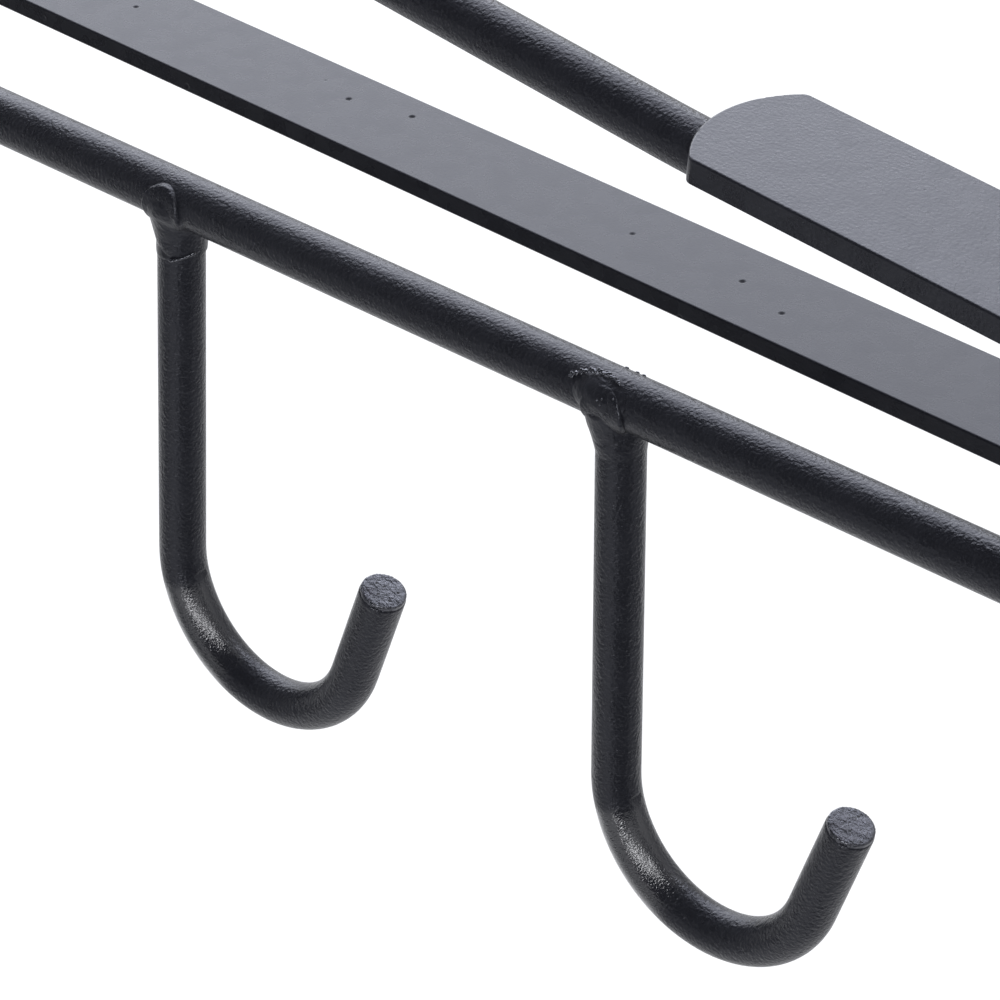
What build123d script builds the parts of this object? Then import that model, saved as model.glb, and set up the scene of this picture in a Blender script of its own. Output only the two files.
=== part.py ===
from build123d import *
import os
from math import cos, sin, tan, radians

# Under-cabinet hanging rack, in millimetres, +Z up.
# One bent rod is both the hook rail and the spring clip that slides over a shelf board.
# X runs along the rail from the closed end of the clip (-X) to its open end (+X).
# Y runs from the hook rail (Y = 0) towards the flat bar (+Y).
# Z = 0 is the underside of the board: the top of the rail and of the flat bar.

# Row of hooks, of which one was welded on a little crooked; a die marks each where its bend starts
hook_count = 5
hook_pitch = 55.0
hook_d = 4.5
hook_stem = 38.5
hook_bend_r = 11.7
hook_sweep = 160.0
hook_tip = 11.2
hook_tip_round = 0.5
crooked_hook = 3
crooked_lean = 2.5
die_mark_r = 0.8
die_mark_depth = 0.15
die_mark_turn = 12.0

# Clip rod: rail, riser and sprung arm
rod_d = 5.0
rail_overhang = 15.0
riser_lead = 13.0
rail_corner_r = 9.0
arm_corner_r = 10.0
arm_slope = 7.0
arm_set_radius = 150.0
rod_end_round = 0.6
board_gap = 15.25

# Plate welded on top of the arm's free end, turned a little off the arm
plate_width = 15.1
plate_thickness = 2.25
plate_side = 68.0
plate_crown = 3.0
plate_setback = 1.0
plate_slope = 5.5
plate_skew = 0.9
plate_bend_lead = 4.0
plate_rod_margin = 5.0
plate_corner_r = 1.0
plate_edge_round = 0.25

# Flat bar beside the rail, welded a little out of line with it
bar_width = 11.5
bar_thickness = 1.9
bar_clearance = 11.6
bar_overhang = 9.0
bar_skew = 1.5
bar_corner_r = 2.0
bar_edge_round = 0.2

# Cross rods that carry the bar
cross_d = 4.0
cross_lead = 15.0
cross_bite = 1.5
cross_overhang = 2.5
cross_end_round = 0.5

# Welds: how far two pieces sink together, the flare or collar round a wire and the saddle on the rail
weld_set = 0.15
weld_length = 2.6
weld_spread = 0.75
weld_shift = 0.8
weld_wall = 0.3
saddle_stand = 0.4
saddle_side = 0.15
saddle_shift = 0.1
saddle_climb = 2.0
saddle_lap = 0.6
saddle_round = 0.3

rod_r = rod_d / 2
hook_r = hook_d / 2
cross_r = cross_d / 2
rail_z = -rod_r
cross_z = -bar_thickness - cross_r + weld_set
bar_near_y = rod_r + bar_clearance
bar_far_y = bar_near_y + bar_width

# Places along X, worked out from the row of hooks
last_hook_x = (hook_count - 1) / 2 * hook_pitch
cross_x = last_hook_x + cross_lead
bar_end_x = cross_x + bar_overhang
rail_end_x = cross_x + rail_overhang
riser_x = -cross_x - riser_lead
plate_end_x = rail_end_x - plate_setback - plate_crown
plate_start_x = plate_end_x - plate_side

# Heights of the arm's centre line, worked back from the gap that grips the board
arm_end_x = plate_end_x - plate_rod_margin
arm_end_z = board_gap + rod_r
arm_bend_x = plate_start_x - plate_crown - plate_bend_lead
arm_bend_z = arm_end_z + (arm_end_x - arm_bend_x) * tan(radians(plate_slope))
arm_top_z = arm_bend_z + (arm_bend_x - riser_x) * tan(radians(arm_slope))

os.makedirs("parts", exist_ok=True)


def rail_cylinder(radius, centre_x, half_length):
    """A plain round bar on the rail's axis, which cuts or limits what is welded to it."""
    with BuildPart() as bar:
        with BuildSketch(Plane(origin=(centre_x, 0, rail_z), z_dir=(1, 0, 0))):
            Circle(radius)
        extrude(amount=half_length, both=True)
    return bar.part


def weld_flare(root, wire_r):
    """A weld that narrows from the rail down to a wire; the root plane's Y runs along the wire."""
    toe = (wire_r + weld_spread, rod_r)
    neck = (wire_r, rod_r + weld_length)
    with BuildPart() as flare:
        with BuildSketch(root):
            with BuildLine():
                Line((0, 0), toe)
                TangentArc(neck, toe, tangent=(0, -1))
                Polyline(neck, (0, rod_r + weld_length), (0, 0))
            make_face()
        revolve(axis=Axis(root.origin, root.y_dir))
    return flare.part


def weld_collar(centre_x):
    """A hook's weld below the rail: wide at its root, more so towards the closed end, and lofted to the wire."""
    root_z = rail_z - rod_r / 2
    root_half_y = rod_r * sin(radians(60)) - weld_wall
    middle_z = rail_z - rod_r - weld_length / 3
    with BuildPart() as collar:
        with BuildSketch(Plane.XY.offset(root_z)):
            with Locations((centre_x - weld_shift, 0)):
                Ellipse(hook_r + 2 * weld_spread, root_half_y)
        with BuildSketch(Plane.XY.offset(middle_z)):
            with Locations((centre_x - weld_shift / 4, 0)):
                Ellipse(hook_r + weld_spread / 2, hook_r + weld_spread / 4)
        with BuildSketch(Plane.XY.offset(rail_z - rod_r - weld_length)):
            with Locations((centre_x, 0)):
                Circle(hook_r)
        loft()
    return collar.part


def weld_saddle(centre_x):
    """A round-topped patch of weld on the rail's near side, more on the closed end's side of the hook."""
    half_width = hook_r + saddle_side
    drop = rod_r + saddle_lap
    with BuildPart() as saddle:
        add(rail_cylinder(rod_r + saddle_stand, centre_x, half_width + saddle_shift))
        with BuildSketch(Plane(origin=(centre_x, 0, rail_z), x_dir=(1, 0, 0), z_dir=(0, -1, 0))):
            with Locations((-saddle_shift, (saddle_climb - drop) / 2)):
                Ellipse(half_width, (saddle_climb + drop) / 2)
        extrude(amount=rod_d, mode=Mode.INTERSECT)
        skin = saddle.faces().filter_by(GeomType.CYLINDER).sort_by(Axis.Y)[0]
        fillet(skin.edges(), saddle_round)
    return saddle.part


# The rod starts at the rail's open end, turns up at the riser and comes back as the arm
with BuildPart() as clip_rod:
    with BuildLine() as rod_path:
        FilletPolyline(
            (rail_end_x, 0, rail_z),
            (riser_x, 0, rail_z),
            (riser_x, 0, arm_top_z),
            (arm_bend_x, 0, arm_bend_z),
            (arm_end_x, 0, arm_end_z),
            radius=[rail_corner_r, arm_corner_r, arm_set_radius],
        )
    with BuildSketch(Plane(origin=rod_path.line @ 0, z_dir=rod_path.line % 0)):
        Circle(rod_r)
    sweep(path=rod_path.line)
    fillet(clip_rod.faces().filter_by(GeomType.PLANE).edges(), rod_end_round)
clip_rod.part.label = "clip_rod"
export_step(clip_rod.part, "parts/clip_rod.step")


# The plate lies along the arm, with a shallow round at each end
plate_x_dir = Vector(cos(radians(plate_slope)), 0, -sin(radians(plate_slope)))
plate_up = Vector(sin(radians(plate_slope)), 0, cos(radians(plate_slope)))
plate_middle_x = (plate_start_x + plate_end_x) / 2
plate_middle_z = arm_end_z + (arm_end_x - plate_middle_x) * tan(radians(plate_slope))
plate_foot = Vector(plate_middle_x, 0, plate_middle_z) + plate_up * (rod_r - weld_set)
plate_plane = Plane(origin=plate_foot, x_dir=plate_x_dir, z_dir=plate_up).rotated((0, 0, plate_skew))
plate_right = (plate_end_x - plate_start_x) / 2 / cos(radians(plate_slope))
plate_left = -plate_right

with BuildPart() as arm_plate:
    with BuildSketch(plate_plane) as plate_outline:
        with BuildLine():
            Line((plate_left, -plate_width / 2), (plate_right, -plate_width / 2))
            ThreePointArc(
                (plate_right, -plate_width / 2),
                (plate_right + plate_crown, 0),
                (plate_right, plate_width / 2),
            )
            Line((plate_right, plate_width / 2), (plate_left, plate_width / 2))
            ThreePointArc(
                (plate_left, plate_width / 2),
                (plate_left - plate_crown, 0),
                (plate_left, -plate_width / 2),
            )
        make_face()
        fillet(plate_outline.vertices(), plate_corner_r)
    extrude(amount=plate_thickness)
    plate_top = arm_plate.faces().sort_by(Axis(plate_plane.origin, plate_up))[-1]
    fillet(plate_top.edges(), plate_edge_round)
    add(clip_rod.part, mode=Mode.SUBTRACT)
arm_plate.part.label = "arm_plate"
export_step(arm_plate.part, "parts/arm_plate.step")


# The flat bar bears on the board beside the rail
with BuildPart() as flat_bar:
    with BuildSketch(Plane.XY.offset(-bar_thickness)):
        with Locations((0, (bar_near_y + bar_far_y) / 2)):
            RectangleRounded(2 * bar_end_x, bar_width, bar_corner_r, rotation=-bar_skew)
    extrude(amount=bar_thickness)
    fillet(flat_bar.faces().sort_by(Axis.Z)[-1].edges(), bar_edge_round)
    fillet(flat_bar.faces().sort_by(Axis.Z)[0].edges(), bar_edge_round)
flat_bar.part.label = "flat_bar"
export_step(flat_bar.part, "parts/flat_bar.step")


def make_cross_rod(name, centre_x):
    """A rod coped to the rail's side, running under the flat bar and a little past it."""
    root_y = rod_r - cross_bite
    rod_end_y = bar_far_y - centre_x * tan(radians(bar_skew)) + cross_overhang
    with BuildPart() as cross_rod:
        with BuildSketch(Plane(origin=(centre_x, root_y, cross_z), z_dir=(0, 1, 0))):
            Circle(cross_r)
        extrude(amount=rod_end_y - root_y)
        fillet(cross_rod.faces().sort_by(Axis.Y)[-1].edges(), cross_end_round)
        add(weld_flare(Plane(origin=(centre_x, 0, cross_z)), cross_r))
        add(rail_cylinder(rod_r, centre_x, 2 * cross_d), mode=Mode.SUBTRACT)
        add(flat_bar.part, mode=Mode.SUBTRACT)
    cross_rod.part.label = name
    export_step(cross_rod.part, f"parts/{name}.step")


def make_hook(name, centre_x, lean):
    """A wire bent to a J that opens towards +X, coped to the rail, with its weld."""
    bend_z = rail_z - hook_stem
    bend_centre_x = centre_x + hook_bend_r
    lean_angle = radians(lean)
    stem_foot_x = bend_centre_x - hook_bend_r * cos(lean_angle)
    stem_foot_z = bend_z + hook_bend_r * sin(lean_angle)
    root_x = stem_foot_x + (rail_z - stem_foot_z) * tan(lean_angle)
    sweep_angle = radians(hook_sweep)
    mark_angle = radians(die_mark_turn)
    mark_from_centre = hook_bend_r - hook_r - die_mark_r + die_mark_depth
    mark_place = (bend_centre_x - mark_from_centre * cos(mark_angle), bend_z - mark_from_centre * sin(mark_angle))
    with BuildPart() as hook:
        with BuildLine() as wire_path:
            stem = Line((root_x, 0, rail_z), (stem_foot_x, 0, stem_foot_z))
            bend = CenterArc((0, 0), hook_bend_r, 180 - lean, hook_sweep + lean, mode=Mode.PRIVATE)
            add(Plane(origin=(bend_centre_x, 0, bend_z), x_dir=(1, 0, 0), z_dir=(0, -1, 0)) * bend)
            bend_end = wire_path.line @ 1
            Line(bend_end, bend_end + Vector(sin(sweep_angle), 0, -cos(sweep_angle)) * hook_tip)
        with BuildSketch(Plane(origin=stem @ 0, z_dir=stem % 0)):
            Circle(hook_r)
        sweep(path=wire_path.line)
        tip = hook.faces().filter_by(GeomType.PLANE).sort_by(Axis.Z)[0]
        fillet(tip.edges(), hook_tip_round)
        with BuildSketch(Plane.XZ):
            with Locations(mark_place):
                Circle(die_mark_r)
        extrude(amount=hook_d, both=True, mode=Mode.SUBTRACT)
        add(weld_collar(root_x))
        add(weld_saddle(root_x))
        add(rail_cylinder(rod_r, root_x, 2 * hook_d), mode=Mode.SUBTRACT)
    hook.part.label = name
    export_step(hook.part, f"parts/{name}.step")


for side, place in (("closed", -cross_x), ("open", cross_x)):
    make_cross_rod(f"cross_rod_{side}", place)

for number in range(1, hook_count + 1):
    hook_lean = crooked_lean if number == crooked_hook else 0.0
    make_hook(f"hook_{number}", (number - 1) * hook_pitch - last_hook_x, hook_lean)
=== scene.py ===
"""Looks of the under-cabinet hanging rack: its black powder coat, in a plain white studio.

The frame holds one bent rod, a flat bar on two cross rods, a plate on the sprung arm and five
hooks. Lengths here are metres, in the frame's own axes: +X along the rail, +Y to the bar, +Z up.
"""
import logging
import math
from dataclasses import dataclass, field
from enum import Enum

import bpy
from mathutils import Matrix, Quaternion, Vector


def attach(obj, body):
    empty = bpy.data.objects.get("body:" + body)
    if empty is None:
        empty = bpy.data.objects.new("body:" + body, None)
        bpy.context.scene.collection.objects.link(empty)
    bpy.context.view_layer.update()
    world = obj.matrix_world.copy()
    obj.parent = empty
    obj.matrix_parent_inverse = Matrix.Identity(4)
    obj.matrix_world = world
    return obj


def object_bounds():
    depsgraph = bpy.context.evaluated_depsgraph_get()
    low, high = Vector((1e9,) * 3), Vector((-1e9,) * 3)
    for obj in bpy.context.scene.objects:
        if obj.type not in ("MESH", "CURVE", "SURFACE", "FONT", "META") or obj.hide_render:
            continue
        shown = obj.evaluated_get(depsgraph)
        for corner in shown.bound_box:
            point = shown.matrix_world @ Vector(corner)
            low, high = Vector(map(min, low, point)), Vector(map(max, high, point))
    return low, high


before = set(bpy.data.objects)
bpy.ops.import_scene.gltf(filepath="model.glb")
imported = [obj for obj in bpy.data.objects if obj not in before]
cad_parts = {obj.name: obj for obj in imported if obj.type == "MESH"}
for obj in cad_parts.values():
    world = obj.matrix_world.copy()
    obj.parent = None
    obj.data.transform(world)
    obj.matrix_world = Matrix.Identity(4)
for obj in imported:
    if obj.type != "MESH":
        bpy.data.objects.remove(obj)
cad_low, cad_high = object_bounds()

logging.basicConfig(level=logging.INFO, format="%(name)s: %(message)s")
log = logging.getLogger("rack")

MM = 0.001


@dataclass(frozen=True)
class RackSizes:
    """The CAD model's sizes that the welds, the tips and the finishes line up with."""

    hooks: int = 5
    middle_hook: int = 3
    pitch: float = 55.0 * MM
    rail_radius: float = 2.5 * MM
    rail_z: float = -2.5 * MM
    wire_radius: float = 2.25 * MM
    bend_radius: float = 11.7 * MM
    bend_height: float = -41.0 * MM
    sweep: float = 160.0
    straight: float = 11.2 * MM

    def hook_x(self, number: int) -> float:
        """Where a hook's stem stands along the rail, before any lean."""
        return (number - self.middle_hook) * self.pitch


RACK = RackSizes()


class Slot(Enum):
    """The record's material slots."""

    ROD = "rod_coat"
    HOOK = "hook_coat"
    PLATE = "plate_coat"
    BAR = "bar_coat"


class NodeSheet:
    """A material's node tree, with short calls for the nodes that the finishes need."""

    def __init__(self, tree: bpy.types.NodeTree) -> None:
        """Starts from an empty tree.

        Args:
            tree: The node tree of a material or of the world.
        """
        self.tree = tree
        self.tree.nodes.clear()

    def node(self, kind: str, **settings: object) -> bpy.types.Node:
        """Adds a node.

        Args:
            kind: The node's Blender type name.
            **settings: Properties of the node, by name.

        Returns:
            The new node.
        """
        made = self.tree.nodes.new(kind)
        for name, value in settings.items():
            setattr(made, name, value)
        return made

    def link(self, source: bpy.types.NodeSocket, target: bpy.types.NodeSocket) -> None:
        """Joins an output to an input."""
        self.tree.links.new(source, target)

    def feed(self, target: bpy.types.NodeSocket, value: object) -> None:
        """Sets an input from a number, a colour or another node's output.

        Args:
            target: The input.
            value: A plain value or an output socket.
        """
        if isinstance(value, bpy.types.NodeSocket):
            self.link(value, target)
        else:
            target.default_value = value

    def math(self, operation: str, *values: object) -> bpy.types.NodeSocket:
        """Adds a Math node and returns its output.

        Args:
            operation: The operation's Blender name.
            *values: Up to three numbers or outputs.

        Returns:
            The result's socket.
        """
        made = self.node("ShaderNodeMath", operation=operation)
        for socket, value in zip(made.inputs, values):
            self.feed(socket, value)
        return made.outputs[0]

    def remap(self, value: object, start: tuple[float, float],
              end: tuple[float, float]) -> bpy.types.NodeSocket:
        """Maps a range of a value smoothly onto another range, held at both ends.

        Args:
            value: The output to map.
            start: Two values of the source.
            end: What they become.

        Returns:
            The mapped value's socket.
        """
        made = self.node("ShaderNodeMapRange", interpolation_type="SMOOTHSTEP")
        for socket, number in zip(made.inputs, (value, *start, *end)):
            self.feed(socket, number)
        return made.outputs[0]

    def noise(self, place: object, scale: float, detail: float = 2.0) -> bpy.types.NodeSocket:
        """Adds a noise pattern.

        Args:
            place: The coordinates' socket.
            scale: Waves to a metre.
            detail: Octaves.

        Returns:
            The pattern's socket, about 0.5 on average.
        """
        made = self.node("ShaderNodeTexNoise")
        self.feed(made.inputs["Vector"], place)
        self.feed(made.inputs["Scale"], scale)
        self.feed(made.inputs["Detail"], detail)
        return made.outputs["Fac"]


@dataclass(frozen=True)
class BendPatch:
    """The stretch of each hook's bend that the bending die pressed smoother and glossier."""

    start_turn: float = 16.0
    end_turn: float = 66.0
    start_fade: float = 4.0
    end_fade: float = 7.0
    front_y: float = -0.6 * MM
    back_y: float = 0.8 * MM
    margin: float = 0.1
    grain_left: float = 0.18
    grit_gain: float = 4.5
    roughness_left: float = 0.75
    burnish: float = 1.0
    burnish_roughness: float = 0.15

    def mask(self, sheet: NodeSheet, place: bpy.types.NodeSocket) -> bpy.types.NodeSocket:
        """Marks the stretch by its angle round the bend, the same on every hook.

        The rail is cut into lengths of one pitch. Each starts a margin, as a share of the pitch,
        before its hook's stem.

        Args:
            sheet: The material's nodes.
            place: The Object coordinates' socket.

        Returns:
            A mask, 1 on the stretch.
        """
        axes = sheet.node("ShaderNodeSeparateXYZ")
        sheet.feed(axes.inputs[0], place)
        along = sheet.math("WRAP", axes.outputs["X"], RACK.pitch * (1.0 - self.margin),
                           -RACK.pitch * self.margin)
        left = sheet.math("SUBTRACT", RACK.bend_radius, along)
        down = sheet.math("SUBTRACT", RACK.bend_height, axes.outputs["Z"])
        turn = sheet.math("DEGREES", sheet.math("ARCTAN2", down, left))
        start = (self.start_turn - self.start_fade, self.start_turn + self.start_fade)
        end = (self.end_turn - self.end_fade, self.end_turn + self.end_fade)
        begun = sheet.remap(turn, start, (0.0, 1.0))
        ended = sheet.remap(turn, end, (1.0, 0.0))
        front = sheet.remap(axes.outputs["Y"], (self.front_y, self.back_y), (1.0, 0.0))
        return sheet.math("MULTIPLY", sheet.math("MULTIPLY", begun, ended), front)


@dataclass(frozen=True)
class PowderCoat:
    """A black powder coat whose film has a pebbly grain, a fine grit and a few dust specks."""

    name: str
    slot: Slot
    black: tuple[float, float, float, float] = (0.0108, 0.0113, 0.0146, 1.0)
    tint: tuple[float, float, float, float] = (0.86, 0.88, 1.0, 1.0)
    gloss: float = 0.24
    roughness: float = 0.28
    roughness_spread: float = 0.06
    drift: float = 0.2
    drift_waves: float = 0.12
    grain_size: float = 0.31 * MM
    grain_depth: float = 0.096 * MM
    grit_size: float = 0.16 * MM
    grit_depth: float = 0.010 * MM
    speck_spacing: float = 5.0 * MM
    speck_radius: float = 0.22 * MM
    speck_depth: float = 0.06 * MM
    speck_roughness: float = 0.35
    patch: BendPatch | None = None

    def material(self) -> bpy.types.Material:
        """Makes the coat as a material on Object coordinates.

        Returns:
            The new material.
        """
        made = bpy.data.materials.new(self.name)
        made.use_nodes = True
        sheet = NodeSheet(made.node_tree)
        place = sheet.node("ShaderNodeTexCoord").outputs["Object"]
        coat = sheet.node("ShaderNodeBsdfPrincipled")
        coat.inputs["Specular Tint"].default_value = self.tint
        coat.inputs["Specular IOR Level"].default_value = self.gloss
        cloud = sheet.noise(place, self.drift_waves / self.grain_size)
        specks = self.specks(sheet, place)
        sheet.feed(coat.inputs["Base Color"], self.shaded(sheet, cloud))
        low = self.roughness - self.roughness_spread / 2
        high = self.roughness + self.roughness_spread / 2
        roughness = sheet.remap(cloud, (0.3, 0.7), (low, high))
        roughness = sheet.math("MULTIPLY_ADD", specks, self.speck_roughness, roughness)
        grain = sheet.math("MULTIPLY", self.grain(sheet, place), self.grain_depth)
        grit = sheet.noise(place, 1.0 / self.grit_size, 1.0)
        grit = sheet.math("MULTIPLY", grit, self.grit_depth)
        if self.patch:
            smooth = self.patch.mask(sheet, place)
            rough_kept = sheet.remap(smooth, (0.0, 1.0), (1.0, self.patch.roughness_left))
            roughness = sheet.math("MULTIPLY", roughness, rough_kept)
            grain_kept = sheet.remap(smooth, (0.0, 1.0), (1.0, self.patch.grain_left))
            grain = sheet.math("MULTIPLY", grain, grain_kept)
            grit_gained = sheet.remap(smooth, (0.0, 1.0), (1.0, self.patch.grit_gain))
            grit = sheet.math("MULTIPLY", grit, grit_gained)
            burnish = sheet.math("MULTIPLY", smooth, self.patch.burnish)
            sheet.feed(coat.inputs["Coat Weight"], burnish)
            coat.inputs["Coat Roughness"].default_value = self.patch.burnish_roughness
        sheet.feed(coat.inputs["Roughness"], roughness)
        relief = sheet.math("ADD", grain, grit)
        relief = sheet.math("MULTIPLY_ADD", specks, -self.speck_depth, relief)
        bump = sheet.node("ShaderNodeBump")
        bump.inputs["Strength"].default_value = 1.0
        bump.inputs["Distance"].default_value = 1.0
        sheet.feed(bump.inputs["Height"], relief)
        sheet.link(bump.outputs["Normal"], coat.inputs["Normal"])
        sheet.link(bump.outputs["Normal"], coat.inputs["Coat Normal"])
        out = sheet.node("ShaderNodeOutputMaterial")
        sheet.link(coat.outputs["BSDF"], out.inputs["Surface"])
        return made

    def grain(self, sheet: NodeSheet, place: bpy.types.NodeSocket) -> bpy.types.NodeSocket:
        """Mixes rounded cells with a little noise to the pebbles of a leathery film.

        Args:
            sheet: The material's nodes.
            place: The coordinates' socket.

        Returns:
            The grain's height, from about 0 to 1.
        """
        cell_waves, cell_softness, cell_share, lump_detail = 0.8, 0.7, 0.35, 2.5
        cells = sheet.node("ShaderNodeTexVoronoi", feature="SMOOTH_F1")
        sheet.feed(cells.inputs["Vector"], place)
        cells.inputs["Scale"].default_value = cell_waves / self.grain_size
        cells.inputs["Smoothness"].default_value = cell_softness
        lumps = sheet.noise(place, 1.0 / self.grain_size, lump_detail)
        return sheet.math("MULTIPLY_ADD", cells.outputs["Distance"], -cell_share, lumps)

    def shaded(self, sheet: NodeSheet, cloud: bpy.types.NodeSocket) -> bpy.types.NodeSocket:
        """Lets the black drift a little, as the film's thickness does.

        Args:
            sheet: The material's nodes.
            cloud: A wide, slow noise.

        Returns:
            The colour's socket.
        """
        mix = sheet.node("ShaderNodeMix", data_type="RGBA")
        sheet.feed(mix.inputs["Factor"], cloud)
        darker, lighter = 1.0 - self.drift, 1.0 + self.drift
        mix.inputs["A"].default_value = tuple(darker * c for c in self.black[:3]) + (1.0,)
        mix.inputs["B"].default_value = tuple(lighter * c for c in self.black[:3]) + (1.0,)
        return mix.outputs["Result"]

    def specks(self, sheet: NodeSheet, place: bpy.types.NodeSocket) -> bpy.types.NodeSocket:
        """Marks small round specks where dust lay under the powder.

        Args:
            sheet: The material's nodes.
            place: The coordinates' socket.

        Returns:
            A mask, 1 in the middle of a speck.
        """
        cells = sheet.node("ShaderNodeTexVoronoi")
        sheet.feed(cells.inputs["Vector"], place)
        cells.inputs["Scale"].default_value = 1.0 / self.speck_spacing
        edge = self.speck_radius / self.speck_spacing
        core = 0.3 * edge
        return sheet.remap(cells.outputs["Distance"], (core, edge), (1.0, 0.0))


ROD_COAT = PowderCoat("rod_powder_coat", Slot.ROD)
HOOK_COAT = PowderCoat("hook_powder_coat", Slot.HOOK, patch=BendPatch())
PLATE_COAT = PowderCoat("plate_powder_coat", Slot.PLATE, gloss=0.29, grain_depth=0.035 * MM)
BAR_COAT = PowderCoat("bar_powder_coat", Slot.BAR, gloss=0.172, grain_depth=0.006 * MM,
                      speck_spacing=3.6 * MM, speck_radius=0.42 * MM, speck_roughness=0.7)
WELD_COAT = PowderCoat("weld_powder_coat", Slot.HOOK, roughness=0.30, grain_depth=0.06 * MM)
POOLED_COAT = PowderCoat("pooled_powder_coat", Slot.HOOK, gloss=0.75, roughness=0.15,
                         grain_depth=0.012 * MM, grit_depth=0.002 * MM)
TIP_COAT = PowderCoat("tip_powder_coat", Slot.HOOK, gloss=0.80, roughness=0.26,
                      grain_depth=0.045 * MM, speck_spacing=0.75 * MM, speck_radius=0.17 * MM,
                      speck_depth=0.10 * MM, speck_roughness=0.6)


@dataclass
class CoatedNodes:
    """CAD nodes that share one coat."""

    names: list[str]
    coat: PowderCoat

    def dress(self) -> None:
        """Puts the coat in the nodes' material slots."""
        finish = self.coat.material()
        for name in self.names:
            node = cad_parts[name]
            for place in node.material_slots:
                place.material = finish
            if not node.material_slots:
                node.data.materials.append(finish)
            log.info("%s wears %s", name, finish.name)


class Bench:
    """Short calls for the mesh operators, each started from a clean selection."""

    @staticmethod
    def rod(start: Vector, end: Vector, radius: float,
            end_radius: float | None = None) -> bpy.types.Object:
        """Stands a round bar or a cone between two points.

        Args:
            start: The middle of one end.
            end: The middle of the other end.
            radius: The radius at the start.
            end_radius: The radius at the end, where it differs.

        Returns:
            The bar, with its place in its mesh.
        """
        bpy.ops.object.select_all(action="DESELECT")
        run = end - start
        bpy.ops.mesh.primitive_cone_add(
            vertices=64, radius1=radius, radius2=radius if end_radius is None else end_radius,
            depth=run.length, location=(start + end) / 2,
            rotation=run.to_track_quat("Z", "Y").to_euler())
        bpy.ops.object.transform_apply(location=True, rotation=True, scale=True)
        return bpy.context.object

    @staticmethod
    def drop(centre: Vector, radii: Vector) -> bpy.types.Object:
        """Makes a rounded drop with three half-axes.

        Args:
            centre: Its middle.
            radii: Its half-axes.

        Returns:
            The drop, with its place in its mesh.
        """
        bpy.ops.object.select_all(action="DESELECT")
        bpy.ops.mesh.primitive_ico_sphere_add(subdivisions=3, radius=1.0, location=centre)
        bpy.context.object.scale = radii
        bpy.ops.object.transform_apply(location=True, rotation=True, scale=True)
        return bpy.context.object

    @staticmethod
    def modify(piece: bpy.types.Object, kind: str, **settings: object) -> None:
        """Adds a modifier and applies it.

        Args:
            piece: The mesh object.
            kind: The modifier's Blender type name.
            **settings: The modifier's properties, by name.
        """
        bpy.ops.object.select_all(action="DESELECT")
        bpy.context.view_layer.objects.active = piece
        piece.select_set(True)
        step = piece.modifiers.new(kind.lower(), kind)
        for name, value in settings.items():
            setattr(step, name, value)
        bpy.ops.object.modifier_apply(modifier=step.name)

    @classmethod
    def melt(cls, parts: list[bpy.types.Object], name: str, voxel: float,
             rounds: int) -> bpy.types.Object:
        """Runs parts together into one closed skin with soft fillets.

        Args:
            parts: Mesh objects that overlap.
            name: The new piece's name.
            voxel: The skin's resolution.
            rounds: Smoothing rounds; more gives wider fillets.

        Returns:
            The piece.
        """
        bpy.ops.object.select_all(action="DESELECT")
        for part in parts:
            part.select_set(True)
        bpy.context.view_layer.objects.active = parts[0]
        if len(parts) > 1:
            bpy.ops.object.join()
        bpy.ops.object.origin_set(type="ORIGIN_CURSOR")
        piece = bpy.context.object
        piece.name = name
        cls.modify(piece, "REMESH", mode="VOXEL", voxel_size=voxel)
        cls.modify(piece, "SMOOTH", factor=0.5, iterations=rounds)
        return piece

    @classmethod
    def roughen(cls, piece: bpy.types.Object, size: float, depth: float) -> None:
        """Lifts and sinks a skin in soft lumps.

        Args:
            piece: The mesh object.
            size: The lumps' size.
            depth: From the lowest to the highest.
        """
        lumps = bpy.data.textures.new(piece.name + "_lumps", "CLOUDS")
        lumps.noise_scale = size
        cls.modify(piece, "DISPLACE", texture=lumps, strength=depth, mid_level=0.5,
                   texture_coords="LOCAL")

    @staticmethod
    def copy(piece: bpy.types.Object, name: str, shift: float) -> bpy.types.Object:
        """Copies a piece along the rail, with a mesh of its own.

        Args:
            piece: The piece to copy.
            name: The copy's name.
            shift: How far the copy is moved along +X.

        Returns:
            The copy, with its place in its mesh.
        """
        bpy.ops.object.select_all(action="DESELECT")
        bpy.context.view_layer.objects.active = piece
        piece.select_set(True)
        bpy.ops.object.duplicate(linked=False)
        made = bpy.context.object
        made.name = name
        bpy.ops.transform.translate(value=(shift, 0.0, 0.0))
        bpy.ops.object.transform_apply(location=True, rotation=True, scale=True)
        return made

    @staticmethod
    def finish(piece: bpy.types.Object, finish: bpy.types.Material, slot: Slot) -> None:
        """Smooths a piece's shading, coats it and lets it ride on the rack.

        Args:
            piece: The mesh object.
            finish: Its material.
            slot: Not used.
        """
        bpy.ops.object.select_all(action="DESELECT")
        bpy.context.view_layer.objects.active = piece
        piece.select_set(True)
        bpy.ops.object.shade_smooth()
        piece.data.materials.clear()
        piece.data.materials.append(finish)
        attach(piece, "root")


class WeldKind(Enum):
    """The two kinds of hook weld that the rack shows."""

    DOME = "dome"
    PATCH = "patch"


@dataclass(frozen=True)
class Nugget:
    """The rounded patch of weld on the rail's near side."""

    half_width: float
    stand: float
    shift: float
    lift: float
    set_out: float = 0.45 * MM
    least_lift: float = 0.05 * MM

    def build(self, root_x: float) -> bpy.types.Object:
        """Makes the patch.

        Args:
            root_x: Where the hook's wire meets the rail.

        Returns:
            The patch.
        """
        middle = Vector((root_x + self.shift, -self.set_out, RACK.rail_z + self.lift))
        depth = RACK.rail_radius + self.stand - self.set_out
        height = RACK.rail_radius - max(self.least_lift, self.lift)
        return Bench.drop(middle, Vector((self.half_width, depth, height)))


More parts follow.
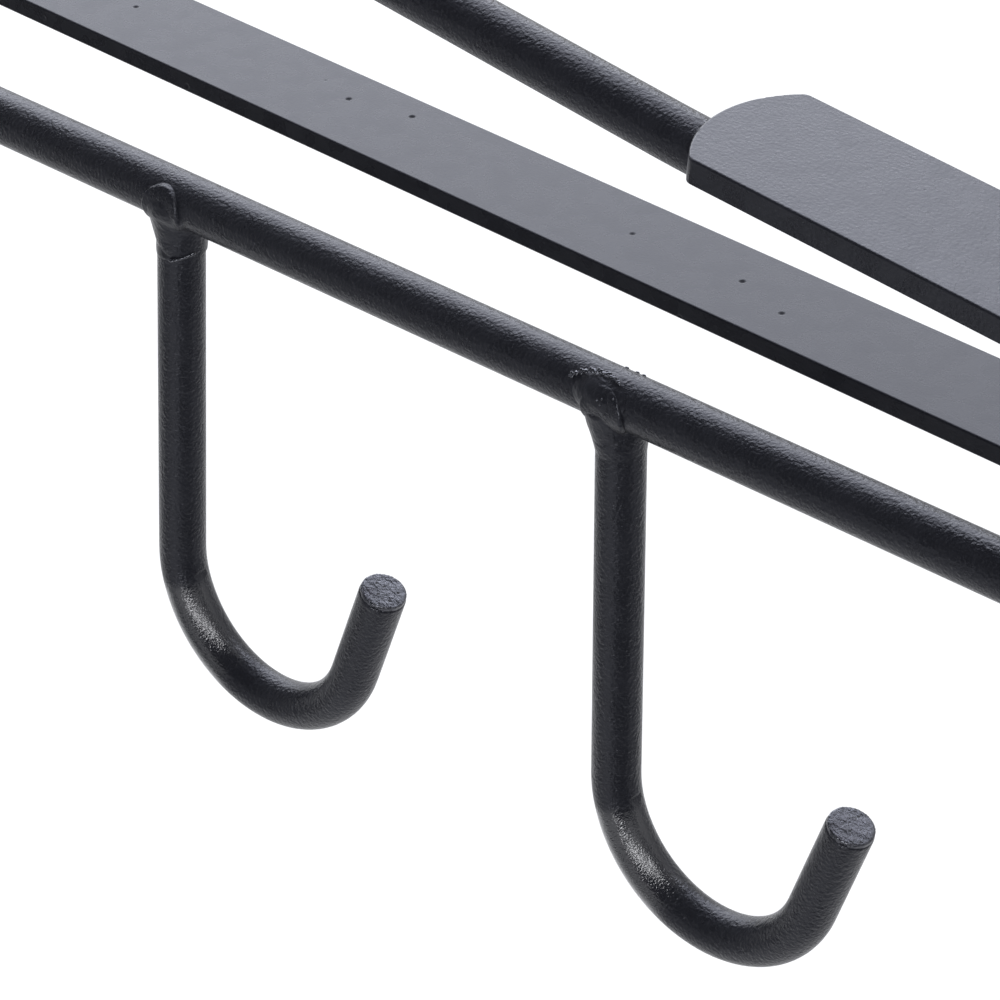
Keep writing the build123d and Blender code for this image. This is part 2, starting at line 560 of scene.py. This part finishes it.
NUGGETS = {
    WeldKind.DOME: Nugget(half_width=3.9 * MM, stand=0.62 * MM, shift=-0.1 * MM, lift=-0.35 * MM),
    WeldKind.PATCH: Nugget(half_width=4.7 * MM, stand=0.52 * MM, shift=-0.6 * MM, lift=0.25 * MM),
}


@dataclass
class HookWeld:
    """The weld that joins a hook's wire to the rail, run on by hand, with its cold droplets."""

    kind: WeldKind
    hooks: list[int]
    root_shift: float = 0.0
    lean: float = 0.0
    voxel: float = 0.13 * MM
    melt_rounds: int = 18
    lump_size: float = 1.1 * MM
    lump_depth: float = 0.10 * MM
    drop_voxel: float = 0.06 * MM
    drop_rounds: int = 2
    stub_inset: float = 0.04 * MM
    rail_stub_half: float = 5.6 * MM
    rail_stub_shift: float = -0.4 * MM
    wire_stub_length: float = 8.4 * MM
    flare_radius: float = 2.95 * MM
    flare_top: float = 0.9 * MM
    flare_foot: float = 4.9 * MM
    flare_inset: float = 0.05 * MM
    seam_depth: float = 5.1 * MM
    seam_tilt: float = 0.24
    seam_swell: float = 0.13 * MM
    ring_height: float = 1.2 * MM
    ring_inset: float = 0.15 * MM
    across_view: Vector = field(default_factory=lambda: Vector((0.739, 0.673, 0.0)))

    @property
    def nugget(self) -> Nugget:
        """The patch on the rail's near side, by the kind of weld."""
        return NUGGETS[self.kind]

    @property
    def root_x(self) -> float:
        """Where the first hook's wire meets the rail."""
        return RACK.hook_x(self.hooks[0]) + self.root_shift

    def build(self, coat: bpy.types.Material, glaze: bpy.types.Material) -> None:
        """Models the weld and its droplets on the first hook and copies them to the others.

        Args:
            coat: The skin's material.
            glaze: The droplets' glossier material.
        """
        dome = self.kind is WeldKind.DOME
        parts = [self.rail_stub(), self.wire_stub(), self.nugget.build(self.root_x), self.flare()]
        if dome:
            parts.append(self.ring())
        first = self.hooks[0]
        skin = Bench.melt(parts, f"hook_{first}_weld", self.voxel, self.melt_rounds)
        Bench.roughen(skin, self.lump_size, self.lump_depth)
        drops = self.seam_drops() if dome else self.crust_drops() + self.far_drops()
        spatter = Bench.melt(drops, f"hook_{first}_spatter", self.drop_voxel, self.drop_rounds)
        for piece, part, material in ((skin, "weld", coat), (spatter, "spatter", glaze)):
            copies = [Bench.copy(piece, f"hook_{number}_{part}", (number - first) * RACK.pitch)
                      for number in self.hooks[1:]]
            for made in [piece, *copies]:
                Bench.finish(made, material, Slot.HOOK)
                log.info("%s: %s, %d faces", made.name, self.kind.value, len(made.data.polygons))

    def wire_point(self, depth: float) -> Vector:
        """A point on the wire's axis, by its depth below the rail's axis."""
        drift = depth * math.tan(math.radians(self.lean))
        return Vector((self.root_x - drift, 0.0, RACK.rail_z - depth))

    def rail_point(self, across: float, angle: float, radius: float) -> Vector:
        """A point round the rail; the angle is 90 degrees at the top, 180 on the near side."""
        return Vector((self.root_x + across, radius * math.cos(angle),
                       RACK.rail_z + radius * math.sin(angle)))

    def rail_stub(self) -> bpy.types.Object:
        """A length of the rail, a hair thinner, that the weld runs out onto."""
        half = Vector((self.rail_stub_half, 0.0, 0.0))
        middle = Vector((self.root_x + self.rail_stub_shift, 0.0, RACK.rail_z))
        return Bench.rod(middle - half, middle + half, RACK.rail_radius - self.stub_inset)

    def wire_stub(self) -> bpy.types.Object:
        """A length of the wire, a hair thinner, that the weld runs down onto."""
        return Bench.rod(self.wire_point(0.0), self.wire_point(self.wire_stub_length),
                         RACK.wire_radius - self.stub_inset)

    def flare(self) -> bpy.types.Object:
        """The fillet under the rail, wide at the top and drawn in to the wire."""
        start = self.wire_point(self.flare_top) + Vector((self.nugget.shift, 0.0, 0.0))
        return Bench.rod(start, self.wire_point(self.flare_foot), self.flare_radius,
                         RACK.wire_radius - self.flare_inset)

    def ring(self) -> bpy.types.Object:
        """The slight bulge round the wire, whose lower edge is tilted down at the left."""
        foot = self.wire_point(self.seam_depth)
        tilt = (Vector((0.0, 0.0, 1.0)) - self.seam_tilt * self.across_view).normalized()
        return Bench.rod(foot, foot + tilt * self.ring_height, RACK.wire_radius + self.seam_swell,
                         RACK.wire_radius - self.ring_inset)

    def seam_drops(self) -> list[bpy.types.Object]:
        """The thin bright lip along the near right stretch of the seam."""
        count, first_turn, turn_step, extra_tilt = 18, 291.0, 3.2, 0.1
        drops = []
        for step in range(count):
            turn = math.radians(first_turn + turn_step * step)
            swell = (0.18 + 0.05 * math.sin(step * 2.1)) * MM
            reach = RACK.wire_radius + self.seam_swell
            out = Vector((math.cos(turn), math.sin(turn), 0.0)) * reach
            rise = Vector((0.0, 0.0, (self.seam_tilt + extra_tilt) * out.dot(self.across_view)))
            spot = self.wire_point(self.seam_depth) + out + rise
            drops.append(Bench.drop(spot, Vector((1.3, 1.3, 0.9)) * swell))
        return drops

    def far_drops(self) -> list[bpy.types.Object]:
        """Three small splashes on the rail's far shoulder."""
        shoulder, radii = math.radians(56.0), Vector((0.24, 0.13, 0.13)) * MM
        return [Bench.drop(self.rail_point(across * MM, shoulder, RACK.rail_radius), radii)
                for across in (-0.67, 0.52, 1.25)]

    def crust_drops(self) -> list[bpy.types.Object]:
        """The cold droplets along the patch's upper edge and a few in its middle.

        The row starts on the rail's near side, left of the wire, bows up to its top and comes
        down a little. Its droplets get smaller and lie closer to the line on the way. The
        lengths named here are millimetres along the rail, and the angles are degrees round it.

        Returns:
            The droplets.
        """
        count, row_start, row_length = 52, -4.1, 5.2
        top_angle, bow_angle = 114.0, 31.0
        drops = []
        for step in range(count):
            share = step / (count - 1)
            across = (row_start + row_length * share) * MM
            bow = 1.0 - (1.0 - 1.5 * share) ** 2
            scatter = 5.0 * math.sin(step * 4.7) * (1.0 - 0.5 * share)
            angle = math.radians(top_angle + bow_angle * (1.0 - bow) + scatter)
            swell = (0.140 + 0.050 * math.sin(step * 2.3)) * (1.0 - 0.25 * share) * MM
            stand = 0.34 * MM * max(0.0, bow) + 0.08 * MM
            spot = self.rail_point(across, angle, RACK.rail_radius + stand)
            drops.append(Bench.drop(spot, Vector((1.2, 0.9, 1.0)) * swell))
        bead = Vector((0.13, 0.13, 0.13)) * MM
        reach = RACK.rail_radius + self.nugget.stand
        for across, degrees in ((-0.3, 163.0), (0.2, 158.0), (0.1, 168.0), (1.3, 150.0)):
            spot = self.rail_point(across * MM, math.radians(degrees), reach)
            drops.append(Bench.drop(spot, bead))
        return drops


@dataclass
class CutTip:
    """The hooks' sawn ends, where the powder pooled into a glossy, lumpy cap.

    Each bead on the rim is an angle in degrees from the bend's outer side and a radius in mm.
    """

    swell: float = 0.17 * MM
    inset: float = 0.08 * MM
    depth: float = 0.5 * MM
    voxel: float = 0.09 * MM
    melt_rounds: int = 3
    lump_size: float = 0.8 * MM
    lump_depth: float = 0.07 * MM
    bead_depth: float = 0.28 * MM
    bead_voxel: float = 0.05 * MM
    bead_rounds: int = 1
    beads: tuple[tuple[float, float], ...] = ((-74.0, 0.10), (-67.0, 0.14), (-59.0, 0.12))

    def build(self, pitted: bpy.types.Material, glaze: bpy.types.Material) -> None:
        """Models the first hook's cap and its droplets and copies them to the others.

        Args:
            pitted: The cap's material.
            glaze: The droplets' glossier material.
        """
        turn = math.radians(RACK.sweep)
        axis = Vector((math.sin(turn), 0.0, -math.cos(turn)))
        side = Vector((-math.cos(turn), 0.0, -math.sin(turn)))
        centre = Vector((RACK.hook_x(1) + RACK.bend_radius, 0.0, RACK.bend_height))
        face = centre + side * RACK.bend_radius + axis * RACK.straight
        disc = Bench.rod(face - axis * self.depth, face + axis * self.swell,
                         RACK.wire_radius - self.inset)
        cap = Bench.melt([disc], "hook_1_tip", self.voxel, self.melt_rounds)
        Bench.roughen(cap, self.lump_size, self.lump_depth)
        drops = []
        for degrees, radius in self.beads:
            angle = math.radians(degrees)
            out = side * math.cos(angle) + Vector((0.0, math.sin(angle), 0.0))
            spot = face - axis * self.bead_depth + out * RACK.wire_radius
            drops.append(Bench.drop(spot, Vector((1.0, 1.0, 1.0)) * radius * MM))
        rim = Bench.melt(drops, "hook_1_tip_drops", self.bead_voxel, self.bead_rounds)
        for piece, part, material in ((cap, "tip", pitted), (rim, "tip_drops", glaze)):
            copies = [Bench.copy(piece, f"hook_{number}_{part}", (number - 1) * RACK.pitch)
                      for number in range(2, RACK.hooks + 1)]
            for made in [piece, *copies]:
                Bench.finish(made, material, Slot.HOOK)
                log.info("%s: %d faces", made.name, len(made.data.polygons))


@dataclass
class TackWelds:
    """Short tacks on both sides of a rod, where a flat piece lies on it."""

    name: str
    middles: list[Vector]
    along: Vector
    side: Vector
    offset: float
    radii: Vector
    slot: Slot
    voxel: float = 0.16 * MM
    melt_rounds: int = 5
    lump_size: float = 1.3 * MM
    lump_depth: float = 0.14 * MM
    spread: float = 0.8
    unevenness: float = 0.1

    def build(self, coat: bpy.types.Material) -> None:
        """Models the tacks as one piece, three drops to a tack.

        Args:
            coat: Their material.
        """
        drops = []
        for middle in self.middles:
            for hand in (-1.0, 1.0):
                start = middle + self.side * self.offset * hand
                reach = self.spread + self.unevenness * hand
                for step in (-1.0, 0.0, 1.0):
                    drops.append(Bench.drop(start + self.along * step * reach, self.radii))
        tacks = Bench.melt(drops, self.name, self.voxel, self.melt_rounds)
        Bench.roughen(tacks, self.lump_size, self.lump_depth)
        Bench.finish(tacks, coat, self.slot)
        log.info("%s: %d faces", self.name, len(tacks.data.polygons))


@dataclass
class Softbox:
    """A plain area lamp, white or faintly blue, that faces the object from a bearing."""

    name: str
    azimuth: float
    elevation: float
    distance: float
    width: float
    height: float
    radiance: float
    roll: float = 0.0
    colour: tuple[float, float, float] = (1.0, 1.0, 1.0)

    def place(self, aim: Vector) -> bpy.types.Object:
        """Makes the lamp.

        Args:
            aim: The point that it faces.

        Returns:
            The lamp's object.
        """
        lamp = bpy.data.lights.new(self.name, "AREA")
        lamp.shape = "RECTANGLE"
        lamp.size = self.width
        lamp.size_y = self.height
        lamp.color = self.colour
        # A flat lamp's power in watts, from its radiance and its area
        lamp.energy = self.radiance * math.pi * self.width * self.height
        made = bpy.data.objects.new(self.name, lamp)
        bpy.context.scene.collection.objects.link(made)
        away = bearing(self.azimuth, self.elevation)
        made.location = aim + away * self.distance
        turn = away.to_track_quat("Z", "Y") @ Quaternion((0, 0, 1), math.radians(self.roll))
        made.rotation_euler = turn.to_euler()
        made.visible_camera = False
        return made


def bearing(azimuth: float, elevation: float) -> Vector:
    """The direction at an angle round +Z from +X and an angle above level, in degrees."""
    turn, rise = math.radians(azimuth), math.radians(elevation)
    return Vector((math.cos(turn) * math.cos(rise), math.sin(turn) * math.cos(rise),
                   math.sin(rise)))


@dataclass
class DarkCard:
    """A matt studio card, black or grey and unseen by the camera, that darkens reflections."""

    name: str
    azimuth: float
    elevation: float
    distance: float
    width: float
    height: float
    grey: float = 0.03

    def paint(self) -> bpy.types.Material:
        """Makes the card's matt paint.

        Returns:
            The material.
        """
        made = bpy.data.materials.new(self.name + "_paint")
        made.use_nodes = True
        sheet = NodeSheet(made.node_tree)
        matt = sheet.node("ShaderNodeBsdfDiffuse")
        matt.inputs["Color"].default_value = (self.grey, self.grey, self.grey, 1.0)
        out = sheet.node("ShaderNodeOutputMaterial")
        sheet.link(matt.outputs[0], out.inputs["Surface"])
        return made

    def place(self, aim: Vector) -> bpy.types.Object:
        """Stands the card up.

        Args:
            aim: The point that it faces.

        Returns:
            The card.
        """
        away = bearing(self.azimuth, self.elevation)
        bpy.ops.object.select_all(action="DESELECT")
        bpy.ops.mesh.primitive_plane_add(size=1.0, location=aim + away * self.distance)
        card = bpy.context.object
        card.name = self.name
        card.scale = (self.width, self.height, 1.0)
        card.rotation_mode = "QUATERNION"
        card.rotation_quaternion = away.to_track_quat("Z", "Y")
        card.data.materials.append(self.paint())
        card.visible_camera = False
        card.visible_shadow = False
        return card


@dataclass
class Studio:
    """A white floor and world, softboxes behind and before the object, and dark cards."""

    floor_drop: float = 0.30
    floor_size: float = 14.0
    floor_white: float = 0.9
    floor_glow: float = 0.7
    daylight: float = 0.5
    softboxes: list[Softbox] = field(default_factory=lambda: [
        Softbox("back_softbox", azimuth=150.0, elevation=38.0, distance=1.6,
                width=2.0, height=1.8, radiance=3.8, colour=(0.86, 0.89, 1.0)),
        Softbox("front_strip", azimuth=310.0, elevation=22.0, distance=1.1,
                width=0.15, height=1.8, radiance=14.0, roll=-33.0),
        Softbox("tip_softbox", azimuth=97.0, elevation=51.0, distance=1.6,
                width=0.7, height=0.6, radiance=3.2, colour=(0.86, 0.89, 1.0)),
    ])
    cards: list[DarkCard] = field(default_factory=lambda: [
        DarkCard("left_card", azimuth=205.0, elevation=20.0, distance=0.75, width=1.0, height=0.9,
                 grey=0.35),
        DarkCard("front_card", azimuth=262.0, elevation=30.0, distance=0.75, width=1.0, height=0.9),
        DarkCard("roof_card", azimuth=270.0, elevation=72.0, distance=0.75, width=1.0, height=0.5),
        DarkCard("low_card", azimuth=329.0, elevation=-28.0, distance=0.42, width=0.52,
                 height=0.28),
        DarkCard("side_card", azimuth=228.0, elevation=-29.0, distance=0.5, width=0.34, height=0.16,
                 grey=0.12),
        DarkCard("right_card", azimuth=38.0, elevation=-31.0, distance=0.5, width=0.36, height=0.22,
                 grey=0.35),
    ])

    def build(self) -> None:
        """Makes the world, the floor, the lamps and the cards."""
        self.whiten_world()
        floor_level = cad_low.z - self.floor_drop
        bpy.ops.object.select_all(action="DESELECT")
        bpy.ops.mesh.primitive_plane_add(size=self.floor_size, location=(0, 0, floor_level))
        floor = bpy.context.object
        floor.name = "studio_floor"
        floor.data.materials.append(self.floor_paint())
        aim = (cad_low + cad_high) / 2
        for softbox in self.softboxes:
            softbox.place(aim)
        for card in self.cards:
            card.place(aim)
        log.info("studio: floor at %.3f m, %d lamps", floor_level, len(self.softboxes))

    @staticmethod
    def seen(sheet: NodeSheet) -> bpy.types.NodeSocket:
        """Is 1 for camera, glossy and transmission rays.

        Args:
            sheet: The nodes of the floor's material or of the world.

        Returns:
            The mask's socket.
        """
        path = sheet.node("ShaderNodeLightPath")
        seen = sheet.math("MAXIMUM", path.outputs["Is Camera Ray"], path.outputs["Is Glossy Ray"])
        return sheet.math("MAXIMUM", seen, path.outputs["Is Transmission Ray"])

    def whiten_world(self) -> None:
        """Makes the world white to look at and a plain soft light elsewhere."""
        world = bpy.data.worlds.new("white_world")
        world.use_nodes = True
        bpy.context.scene.world = world
        sheet = NodeSheet(world.node_tree)
        sky = sheet.node("ShaderNodeBackground")
        sky.inputs["Color"].default_value = (1.0, 1.0, 1.0, 1.0)
        strength = sheet.remap(self.seen(sheet), (0.0, 1.0), (self.daylight, 1.0))
        sheet.feed(sky.inputs["Strength"], strength)
        out = sheet.node("ShaderNodeOutputWorld")
        sheet.link(sky.outputs["Background"], out.inputs["Surface"])

    def floor_paint(self) -> bpy.types.Material:
        """White paint that keeps a soft shadow of the object.

        Returns:
            The floor's material.
        """
        made = bpy.data.materials.new("floor_white")
        made.use_nodes = True
        sheet = NodeSheet(made.node_tree)
        matt = sheet.node("ShaderNodeBsdfDiffuse")
        matt.inputs["Color"].default_value = (self.floor_white,) * 3 + (1.0,)
        glow = sheet.node("ShaderNodeEmission")
        glow.inputs["Color"].default_value = (1.0, 1.0, 1.0, 1.0)
        mix = sheet.node("ShaderNodeMixShader")
        glow_share = sheet.remap(self.seen(sheet), (0.0, 1.0), (0.0, self.floor_glow))
        sheet.feed(mix.inputs[0], glow_share)
        sheet.link(matt.outputs[0], mix.inputs[1])
        sheet.link(glow.outputs[0], mix.inputs[2])
        out = sheet.node("ShaderNodeOutputMaterial")
        sheet.link(mix.outputs[0], out.inputs["Surface"])
        return made


@dataclass
class PhotoCamera:
    """The photograph's camera, placed by where the second hook's top shows in the picture."""

    azimuth: float = 42.35
    elevation: float = 31.7
    distance: float = 0.419
    focal_px: float = 4930.0
    picture_px: float = 1000.0
    sight_px: tuple[float, float] = (621.9, 397.8)
    sight_point: tuple[float, float, float] = (55.0 * MM, 0.0, -2.5 * MM)
    sensor: float = 36.0
    clip_start: float = 0.01

    def place(self) -> bpy.types.Object:
        """Makes the camera and gives it to the scene.

        Returns:
            The camera's object.
        """
        turn, tip = math.radians(self.azimuth), math.radians(self.elevation)
        right = Vector((math.cos(turn), math.sin(turn), 0.0))
        ahead = Vector((-math.sin(turn) * math.cos(tip), math.cos(turn) * math.cos(tip),
                        -math.sin(tip)))
        up = right.cross(ahead)
        across = (self.sight_px[0] - self.picture_px / 2) / self.focal_px
        down = (self.sight_px[1] - self.picture_px / 2) / self.focal_px
        ray = ahead + right * across - up * down
        lens = bpy.data.cameras.new("photo_camera")
        lens.sensor_width = self.sensor
        lens.lens = self.sensor * self.focal_px / self.picture_px
        lens.clip_start = self.clip_start
        made = bpy.data.objects.new("photo_camera", lens)
        bpy.context.scene.collection.objects.link(made)
        made.location = Vector(self.sight_point) - ray * self.distance
        made.rotation_mode = "QUATERNION"
        made.rotation_quaternion = ahead.to_track_quat("-Z", "Y")
        bpy.context.scene.camera = made
        return made


@dataclass
class HangingRack:
    """The whole rack: which nodes wear which coat, its hooks' welds and tips, and its tacks."""

    welds: list[HookWeld] = field(default_factory=lambda: [
        HookWeld(WeldKind.DOME, [1, 5]),
        HookWeld(WeldKind.PATCH, [2, 4]),
        HookWeld(WeldKind.DOME, [3], root_shift=1.67 * MM, lean=2.5),
    ])
    cross_x: float = 125.0 * MM
    bar_y: float = 19.85 * MM
    bar_skew: float = 1.5
    bar_foot: float = -2.35 * MM
    plate_slope: float = 5.5
    arm_end_x: float = 131.0 * MM
    arm_end_z: float = 17.75 * MM
    plate_foot: float = 1.75 * MM
    plate_tacks_x: tuple[float, ...] = (74.0 * MM, 100.0 * MM, 126.0 * MM)

    def build(self) -> None:
        """Dresses the nodes and adds the pieces that were run on or cut by hand."""
        hooks = sorted(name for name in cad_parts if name.startswith("hook_"))
        CoatedNodes(["clip_rod", "cross_rod_closed", "cross_rod_open"], ROD_COAT).dress()
        CoatedNodes(hooks, HOOK_COAT).dress()
        CoatedNodes(["arm_plate"], PLATE_COAT).dress()
        CoatedNodes(["flat_bar"], BAR_COAT).dress()
        skin = WELD_COAT.material()
        glaze = POOLED_COAT.material()
        for weld in self.welds:
            weld.build(skin, glaze)
        CutTip().build(TIP_COAT.material(), glaze)
        self.tack_bar(skin)
        self.tack_plate(skin)

    def tack_bar(self, coat: bpy.types.Material) -> None:
        """Tacks the flat bar to its two cross rods.

        Args:
            coat: The tacks' material.
        """
        skew = math.tan(math.radians(self.bar_skew))
        for side, place in (("closed", -self.cross_x), ("open", self.cross_x)):
            middle = Vector((place, self.bar_y - place * skew, self.bar_foot))
            TackWelds(f"bar_tacks_{side}", [middle], along=Vector((0.0, 1.9 * MM, 0.0)),
                      side=Vector((1.0, 0.0, 0.0)), offset=1.55 * MM,
                      radii=Vector((0.85, 1.5, 0.75)) * MM, slot=Slot.ROD).build(coat)

    def tack_plate(self, coat: bpy.types.Material) -> None:
        """Tacks the plate to the arm in three places.

        Args:
            coat: The tacks' material.
        """
        slope = math.tan(math.radians(self.plate_slope))
        step = 2.2 * MM
        middles = [Vector((x, 0.0, self.arm_end_z + (self.arm_end_x - x) * slope + self.plate_foot))
                   for x in self.plate_tacks_x]
        TackWelds("plate_tacks", middles, along=Vector((step, 0.0, -step * slope)),
                  side=Vector((0.0, 1.0, 0.0)), offset=1.75 * MM,
                  radii=Vector((1.6, 0.85, 0.75)) * MM, slot=Slot.ROD).build(coat)


def main() -> None:
    """Builds the camera, the studio and the rack in order."""
    bpy.context.scene.view_settings.view_transform = "Standard"
    PhotoCamera().place()
    Studio().build()
    HangingRack().build()


if __name__ == "__main__":
    main()
